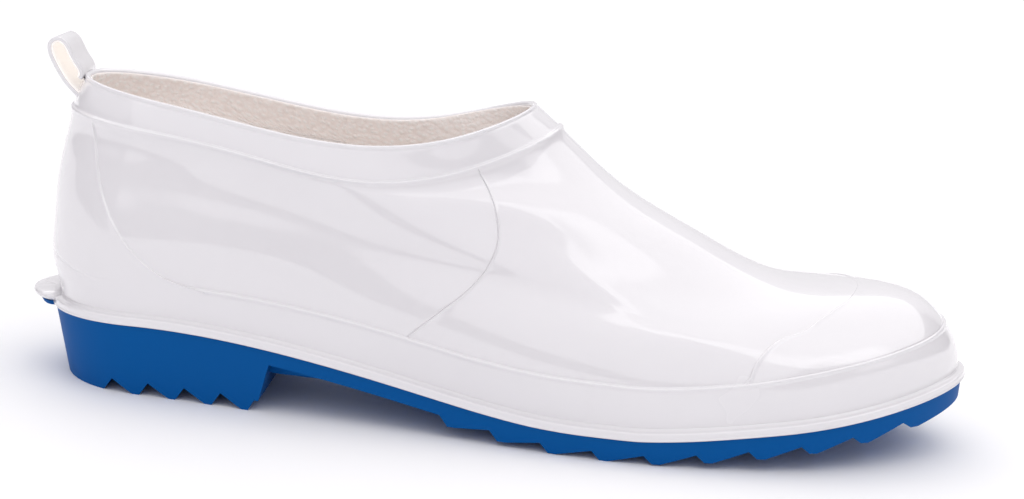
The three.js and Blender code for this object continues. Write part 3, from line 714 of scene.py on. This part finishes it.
def crossing_turns(line, low, high):
    """The turn at which every row crosses a line given in side view."""
    line = np.array(line) * [length, collar_rise]
    line[:, 1] += seat(line[:, 0])
    scan = np.linspace(low, high, 400)
    ring, up = row_heights(scan)
    low_up = np.where(ring < FOXING, -2, up)
    points = skin(scan, np.clip(ring, FOXING, RIDGE), np.where(ring >= RIDGE, np.clip(up, -6, 0), low_up))
    past = points[..., 0] - smooth(line[:, 1], line[:, 0])(np.clip(points[..., 2], line[0, 1], line[-1, 1]))
    after = np.maximum((past > 0).argmax(0), 1)
    each = np.arange(len(rows))
    share = past[after, each] / (past[after, each] - past[after - 1, each])
    turn = scan[after] - (scan[1] - scan[0]) * share
    first, last = np.flatnonzero(rows[:, 0] == FOXING)[0], np.flatnonzero(rows[:, 0] == RIDGE)[8]
    turn[:first], turn[last:] = turn[first], turn[last]
    return turn


def millimetres_per_turn(turn):
    """Millimetres that the form runs round ring 3 for each turn."""
    step = 0.002
    here, there = (skin(turn + way * step, [[3.0]])[:, 0] for way in (-1, 1))
    return np.linalg.norm(there - here, axis=-1) / (2 * step)


counter_turn = crossing_turns(counter_edge, 0.05, 0.2)
quarter_turn = crossing_turns(quarter_edge, 0.19, 0.42)
counter_offsets = np.array([-6, -4, -2.6, -1.7, -1.15, -0.8, -0.55, -0.36, -0.2, -0.06, 0.08, 0.25, 0.6])
counter_blend = np.array([1, 1, 1.0, 1.04, 1.1, 1.15, 1.17, 1.08, 0.85, 0.45, 0.12, 0.0, 0])
groove_offsets = np.array([-1.3, -0.6, -0.4, -0.24, -0.1, 0.04, 0.18, 0.36, 0.6, 1.2])
groove_lifts = np.array([0, 0.0, -0.03, -0.14, -0.24, -0.1, 0.16, 0.26, 0.1, 0])
heel_columns, side_columns, vamp_columns = 22, 64, 112
half = []
for turn_c, turn_q, speed_c, speed_q in zip(counter_turn, quarter_turn, millimetres_per_turn(counter_turn),
                                            millimetres_per_turn(quarter_turn)):
    near_counter = turn_c + counter_offsets / speed_c
    near_quarter = turn_q + groove_offsets / speed_q
    half.append(np.concatenate([
        np.linspace(0, near_counter[0], heel_columns + 1)[:-1], near_counter,
        np.linspace(near_counter[-1], near_quarter[0], side_columns + 1)[1:-1], near_quarter,
        np.linspace(near_quarter[-1], 0.5, vamp_columns + 1)[1:]]))
half = np.array(half)
blend, groove = np.zeros(half.shape[1]), np.zeros(half.shape[1])
blend[:heel_columns] = 1
blend[heel_columns:heel_columns + len(counter_blend)] = counter_blend
first_groove = heel_columns + len(counter_offsets) + side_columns - 1
groove[first_groove:first_groove + len(groove_offsets)] = groove_lifts
at_foxing, at_ridge = rows[:, :1] == FOXING, rows[:, :1] == RIDGE
grooved = at_foxing & (rows[:, 1:2] > 0.7) | is_panel[:, None] | at_ridge & (rows[:, 1:2] < -1)
crease_fade = np.clip((0.1 - half) / 0.03, 0, 1)
counter_lift = rows[:, 3:4] * np.where(at_foxing & ~is_panel[:, None], crease_fade, 1)
half_lift = rows[:, 2:3] * (1 - blend) + counter_lift * blend + np.where(grooved, groove, 0)
turn_grid = np.concatenate([half, 1 - half[:, -2:0:-1]], 1)
lift_grid = np.concatenate([half_lift, half_lift[:, -2:0:-1]], 1)

# Soft hollows and swells that the moulding left, which bend the reflections: turn, share of the way
# from the foxing line to the ridge, spread of both, and lift in millimetres
swells = [
    (0.31, 0.42, 0.035, 0.2, -0.5), (0.355, 0.28, 0.03, 0.12, 0.3), (0.27, 0.72, 0.03, 0.2, 0.2),
    (0.2, 0.5, 0.04, 0.28, -0.15), (0.41, 0.35, 0.03, 0.1, -0.2), (0.13, 0.62, 0.025, 0.2, 0.2),
    (0.69, 0.42, 0.035, 0.2, -0.5), (0.645, 0.28, 0.03, 0.12, 0.3), (0.8, 0.5, 0.04, 0.28, -0.35)]
flat_turn = turn_grid.ravel()
count = turn_grid.shape[1]
ring_grid, up_grid = (grid.reshape(len(rows), count, len(rows)) for grid in row_heights(flat_turn))
own = np.arange(len(rows))
ring_grid, up_grid = ring_grid[own, :, own], up_grid[own, :, own]
way_up = np.where(is_panel[:, None], panel_share[:, None], np.where(rows[:, :1] > FOXING, 9, -9))
for turn, way, wide, tall, lift in swells:
    lift_grid = lift_grid + lift * np.exp(-((turn_grid - turn) / wide) ** 2 - ((way_up - way) / tall) ** 2)
upper_points = skin(flat_turn, *(grid.reshape(-1, 1) for grid in (ring_grid, up_grid, lift_grid)))[:, 0]
upper_shell = upper_points, grid_faces(len(rows), count, ring_rows=True)
upper = make_piece("white_upper", [upper_shell], white_plastic)
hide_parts("upper")

# Toe cap: a second, slightly raised layer of the same plastic over the toe, with a rounded edge.
# It starts at the foxing bead on both sides and crosses the vamp behind the toes.
cap_height, cap_core, edge_columns = 0.35, 1.2, 300
faintest, fade_start, fade_run = 0.3, 0.01, 0.08
cap_edge = [  # turn and ring of the edge on the outer side, up to the middle of the vamp
    (0.343, 2.02), (0.3462, 2.14), (0.3496, 2.4), (0.354, 2.68), (0.3612, 2.98), (0.3685, 3.19),
    (0.3775, 3.33), (0.388, 3.47), (0.4005, 3.73), (0.4135, 3.94), (0.43, 4.07), (0.447, 4.14),
    (0.473, 4.22), (0.5, 4.244)]
edge_turn, edge_ring = (np.array(part) for part in zip(*cap_edge))
edge_turn = np.concatenate([edge_turn, 1 - edge_turn[-2::-1]])
edge_ring = np.concatenate([edge_ring, edge_ring[-2::-1]])
edge_points = skin(edge_turn, edge_ring[:, None])[:, 0]
edge_run = np.concatenate([[0], np.cumsum(np.linalg.norm(np.diff(edge_points, axis=0), axis=1))])
edge_at = np.linspace(0, edge_run[-1], edge_columns)
turn_at, ring_at = smooth(edge_run, edge_turn)(edge_at), smooth(edge_run, edge_ring)(edge_at)
up_at = from_foxing(turn_at, ring_at)
edge_path = skin(turn_at, [[FOXING]], up_at[:, None])[:, 0]
outward = skin(turn_at, [[FOXING]], up_at[:, None], 1)[:, 0] - edge_path
along = np.gradient(edge_path, axis=0)
ahead = np.cross(along, outward)
ahead /= np.linalg.norm(ahead, axis=1, keepdims=True)
off_middle = np.clip((np.abs(turn_at - 0.5) - fade_start) / fade_run, 0, 1)
edge_fade = faintest + (1 - faintest) * ease(off_middle)
cap_rows = []
for distance, lift in ((-0.05, -0.5), (0.03, -0.2), (0.12, 0.05), (0.24, 0.28), (0.4, 0.45), (0.6, 0.54),
                       (0.85, 0.52), (1.1, 0.43), (1.4, 0.36), (2.0, 0.35)):
    spot_turn, spot_up = on_form(edge_path + ahead * distance, turn_at, up_at)
    cap_rows.append((spot_turn, spot_up, np.where(lift > 0, lift * edge_fade, lift) - panel_depth))
last_turn, last_up, _ = cap_rows[-1]
foot = np.minimum(0.25 + foxing_sway(np.minimum(last_turn, 1 - last_turn)), last_up)
for share in np.linspace(0.03, 1, 34):
    cap_rows.append((last_turn, last_up + (foot - last_up) * share,
                     cap_height * (edge_fade + (1 - edge_fade) * share) - panel_depth))
cap_rows.append((last_turn, foot - 0.4, np.full(edge_columns, -panel_depth - 0.2)))
cap_rows += [(turn, up, np.full(edge_columns, -cap_core)) for turn, up, _ in cap_rows[::-1]]
cap_points = np.array([skin(turn, [[FOXING]], up[:, None], lift[:, None])[:, 0]
                       for turn, up, lift in cap_rows])
cap_faces = grid_faces(len(cap_points), edge_columns, ring_rows=True, ring_columns=False)
for end in (0, edge_columns - 1):
    cap_faces.append([row * edge_columns + end for row in range(len(cap_points))])
cap = make_piece("toe_cap", [(cap_points, cap_faces)], white_plastic)

# Lining: a soft cream knit bonded to the inside of the whole shell, from just under the rim down to
# the insole. It is a sleeve with a face and a back, and its edge at the rim is rounded.
knit_face, knit_back = 3.1, 2.45
lining_rows = [(RIM, up, lift) for up, lift in (
    (-1.0, -2.1), (-0.55, -2.3), (-0.45, -2.55), (-0.55, -2.85), (-0.9, -3.05), (-1.5, -knit_face))]
lining_rows += [(ring, 0, -knit_face) for ring in np.arange(8.6, 0.7, -0.12)]
lining_rows += [(ring, 0, -knit_back) for ring in np.arange(0.7, 8.7, 0.2)]


def knit_group():
    """Soft knit: wavy rows of loops with a fuzzy nap, from a UV map in metres."""
    tree, given = new_group("soft knit", {"Loop Size": 0.0013}, {"Height": "Float", "Tone": "Float"})
    place = add_node(tree, "ShaderNodeUVMap", uv_map="surface").outputs[0]
    drift, loop_shape, nap = (0.0011, 0.0011, 0), (0.55, 1.0, 1.0), 0.45
    spread = compute(tree, "MULTIPLY", noise(tree, place, 260, 2)["Color"], drift, kind=VECTORS)
    moved = compute(tree, "ADD", place, spread, kind=VECTORS)
    longer = compute(tree, "MULTIPLY", moved, loop_shape, kind=VECTORS)
    scale = compute(tree, "DIVIDE", 1.0, given["Loop Size"])
    loops = add_node(tree, "ShaderNodeTexVoronoi", {"Vector": longer, "Scale": scale, "Smoothness": 0.5},
                     feature="SMOOTH_F1")
    bumpy = compute(tree, "MULTIPLY_ADD", loops.outputs["Distance"], -1.0, 1.0)
    height = compute(tree, "MULTIPLY_ADD", noise(tree, place, 2600, 4)["Fac"], nap, bumpy)
    add_node(tree, "NodeGroupOutput", {"Height": height, "Tone": height})
    return tree


soft_knit = knit_group()


def knit_material(name, shade, light, loop, depth, painted_glow):
    """Cream knit between two tones, with a faint painted glow: an emission that brightens the knit where
    the shell shades it.
    """
    material, tree, shader = new_material(name, Roughness=0.95, Sheen_Weight=0.35, Sheen_Roughness=0.5,
                                          Specular_IOR_Level=0.2, Emission_Color=(*light, 1),
                                          Emission_Strength=painted_glow)
    knit = add_node(tree, "ShaderNodeGroup", {"Loop Size": loop}, node_tree=soft_knit).outputs
    tone = add_node(tree, "ShaderNodeMapRange", {"Value": knit["Tone"], "From Min": 0.35, "From Max": 1.15})
    tone_and_bump(tree, shader, tone.outputs["Result"], shade, light, 0.9, depth, knit["Height"])
    return material


def surface_marks(grid):
    """UV in metres by distance along the rows and down the columns of a grid of points."""
    across = np.linalg.norm(np.diff(grid, axis=1, append=grid[:, :1]), axis=2)
    across = np.concatenate([np.zeros((len(grid), 1)), np.cumsum(across, 1)[:, :-1]], 1)
    middle = across[len(grid) // 3]
    down = np.cumsum(np.linalg.norm(np.diff(grid, axis=0, prepend=grid[:1]), axis=2), 0)
    return np.stack([np.broadcast_to(middle, down.shape), down], -1).reshape(-1, 2) * MM


# The lining glows faintly: painted light, an emission that brightens the shaded inside of the shell.
cream_knit = knit_material("cream knit", (0.9, 0.83, 0.79), (0.98, 0.94, 0.915), loop=0.0014, depth=0.0005,
                           painted_glow=0.07)
lining_turns = np.arange(360) / 360
lining_grid = skin(lining_turns, *np.array(lining_rows).T).transpose(1, 0, 2)
lining_faces = grid_faces(len(lining_rows), len(lining_turns), ring_rows=True)
lining = make_piece("knit_lining", [(lining_grid, lining_faces)], cream_knit,
                    surface_marks(lining_grid))

# Insole: a soft pad covered with the same knit, cut to the inside of the shell and laid loose on
# the sole. Its upper edge is rounded and its middle is slightly crowned.
insole_depth, insole_crown, heel_gap, toe_gap = 3, 0.25, 28, 42
insole_grid = []
for up, draw in ((0.05, 0.4), (0.4, 0.0), (2.3, 0.0), (2.8, 0.35), (3.0, 1.0)):
    spot = skin(lining_turns, np.array([0.5]), 0, -wall - clearance - draw)[:, 0]
    insole_grid.append(np.column_stack([spot[:, :2], seat(spot[:, 0]) + clearance + up]))
edge = insole_grid[-1]
spine_x = np.clip(edge[:, 0], heel_gap, length - toe_gap)
spine = np.column_stack([spine_x, centre(spine_x), seat(spine_x) + clearance + insole_depth])
for share in (0.08, 0.2, 0.35, 0.5, 0.65, 0.8, 0.92):
    level = edge + (spine - edge) * share
    crown = insole_crown * math.sin(math.pi / 2 * share)
    level[:, 2] = seat(level[:, 0]) + clearance + insole_depth + crown
    insole_grid.append(level)
under = insole_grid[0] + (np.column_stack([spine[:, :2], insole_grid[0][:, 2]]) - insole_grid[0]) * 0.98
insole_grid = np.array([under, *insole_grid])
count = len(lining_turns)
insole_faces = grid_faces(len(insole_grid), count) + close_across(count, 0, (len(insole_grid) - 1) * count)
insole_marks = insole_grid[..., :2].reshape(-1, 2) * MM
# The insole glows faintly as well: painted light, an emission that brightens it in the shade of the shell.
insole_knit = knit_material("insole knit", (0.8, 0.7, 0.63), (0.94, 0.87, 0.81), loop=0.0013, depth=0.0006,
                            painted_glow=0.03)
insole = make_piece("knit_insole", [(insole_grid, insole_faces)], insole_knit, insole_marks)
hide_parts("insole")

# Pull loop: a strap of the white plastic backed with a cream tape. It leaves the collar band at the
# back of the heel, turns over and is moulded in again just under the rim.
loop_width, loop_height, loop_thickness, tape_thickness, loop_points = 15.3, 22, 1.8, 0.6, 90
loop_face = np.array([  # outwards from the back of the ridge and up, as shares of loop_height
    (0.19, 0.06), (0.084, 0.165), (-0.071, 0.315), (-0.198, 0.49), (-0.298, 0.665), (-0.348, 0.815),
    (-0.34, 0.9), (-0.29, 0.965), (-0.2, 1.0), (-0.11, 0.975), (-0.03, 0.89), (0.055, 0.74),
    (0.13, 0.63), (0.185, 0.54), (0.198, 0.47), (0.172, 0.4)])
loop_back = skin(np.array([0.0]), np.array([float(RIDGE)]))[0, 0]
loop_run = np.concatenate([[0], np.cumsum(np.linalg.norm(np.diff(loop_face, axis=0), axis=1))])
loop_at = np.linspace(0, loop_run[-1], loop_points)
loop_x, loop_z = (smooth(loop_run, loop_face[:, k])(loop_at) * loop_height for k in (0, 1))
loop_path = np.column_stack([loop_back[0] + loop_x, np.zeros(loop_points), loop_back[2] + loop_z])
loop_path = (loop_path + origin) * MM


def strap_tree():
    """Strip with rounded edges that follows a path at some depth under its outer face."""
    sizes = {name: "Float" for name in ("Width", "Thickness", "Depth", "Rounding")}
    tree, given = new_group("strap along path", {"Geometry": "Geometry", **sizes, "Material": "Material"},
                            {"Geometry": "Geometry"}, "GeometryNodeTree")

    def lay(kind, geometry, inputs=(), **settings):
        """What a node makes of the geometry that goes in at its first socket."""
        return add_node(tree, kind, {0: geometry, **dict(inputs)}, **settings).outputs[0]
    path = lay("GeometryNodeMeshToCurve", given["Geometry"])
    across = (0.0, 1.0, 0.0)
    level = lay("GeometryNodeSetCurveNormal", path, {"Normal": across}, mode="FREE")
    tangent = add_node(tree, "GeometryNodeInputTangent").outputs[0]
    inwards = compute(tree, "CROSS_PRODUCT", across, tangent, kind=VECTORS)
    sunk = add_node(tree, VECTORS, {0: inwards, "Scale": given["Depth"]}, operation="SCALE").outputs[0]
    laid = lay("GeometryNodeSetPosition", level, {"Offset": sunk})
    strip = add_node(tree, "GeometryNodeCurvePrimitiveQuadrilateral",
                     {"Width": given["Width"], "Height": given["Thickness"]}).outputs[0]
    rounded = lay("GeometryNodeFilletCurve", strip, {"Radius": given["Rounding"], "Count": 4}, mode="POLY")
    swept = lay("GeometryNodeCurveToMesh", laid, {"Profile Curve": rounded, "Fill Caps": True})
    real = lay("GeometryNodeRealizeInstances", lay("GeometryNodeSetShadeSmooth", swept))
    painted = lay("GeometryNodeSetMaterial", real, {"Material": given["Material"]})
    add_node(tree, "NodeGroupOutput", {"Geometry": painted})
    return tree


strap_along_path = strap_tree()


def make_strap(name, material, slot, **sizes):
    """A strap along the loop's path, made by the node tree from its sizes in millimetres."""
    line = bpy.data.meshes.new(name + " path")
    line.from_pydata(loop_path.tolist(), [(i, i + 1) for i in range(len(loop_path) - 1)], [])
    made = bpy.data.objects.new(name, line)
    bpy.context.collection.objects.link(made)
    nodes = made.modifiers.new("strap", "NODES")
    nodes.node_group = strap_along_path
    sockets = {item.name: item.identifier for item in strap_along_path.interface.items_tree
               if item.in_out == "INPUT"}
    for size, value in sizes.items():
        nodes[sockets[size]] = value * MM
    nodes[sockets["Material"]] = material
    made.data = bpy.data.meshes.new_from_object(made.evaluated_get(bpy.context.evaluated_depsgraph_get()))
    made.modifiers.remove(nodes)
    return finish_piece(made)


strap_thickness = loop_thickness - tape_thickness
strap = make_strap("pull_strap", white_plastic, "shell", Width=loop_width, Thickness=strap_thickness,
                   Depth=strap_thickness / 2, Rounding=0.35)
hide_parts("pull_loop")
# The tape glows: painted light, an emission that brightens its shaded face inside the loop.
tape_material, tape_tree, tape_shader = new_material(
    "cream tape", Roughness=0.85, Sheen_Weight=0.2,
    Emission_Color=(0.98, 0.94, 0.9, 1), Emission_Strength=0.28)
tape_place = add_node(tape_tree, "ShaderNodeTexCoord").outputs["Object"]
tape_weave = add_node(tape_tree, "ShaderNodeTexWave",
                      {"Vector": tape_place, "Scale": 620, "Distortion": 0.6, "Detail": 1},
                      bands_direction="Y").outputs["Fac"]
tone_and_bump(tape_tree, tape_shader, tape_weave, (0.86, 0.81, 0.76), (0.95, 0.92, 0.89),
              strength=0.6, depth=0.0003, height=tape_weave)
tape_lap = 0.05
tape = make_strap("loop_tape", tape_material, "lining", Width=loop_width - 1, Thickness=tape_thickness,
                  Depth=loop_thickness - tape_thickness / 2 - tape_lap, Rounding=0.15)
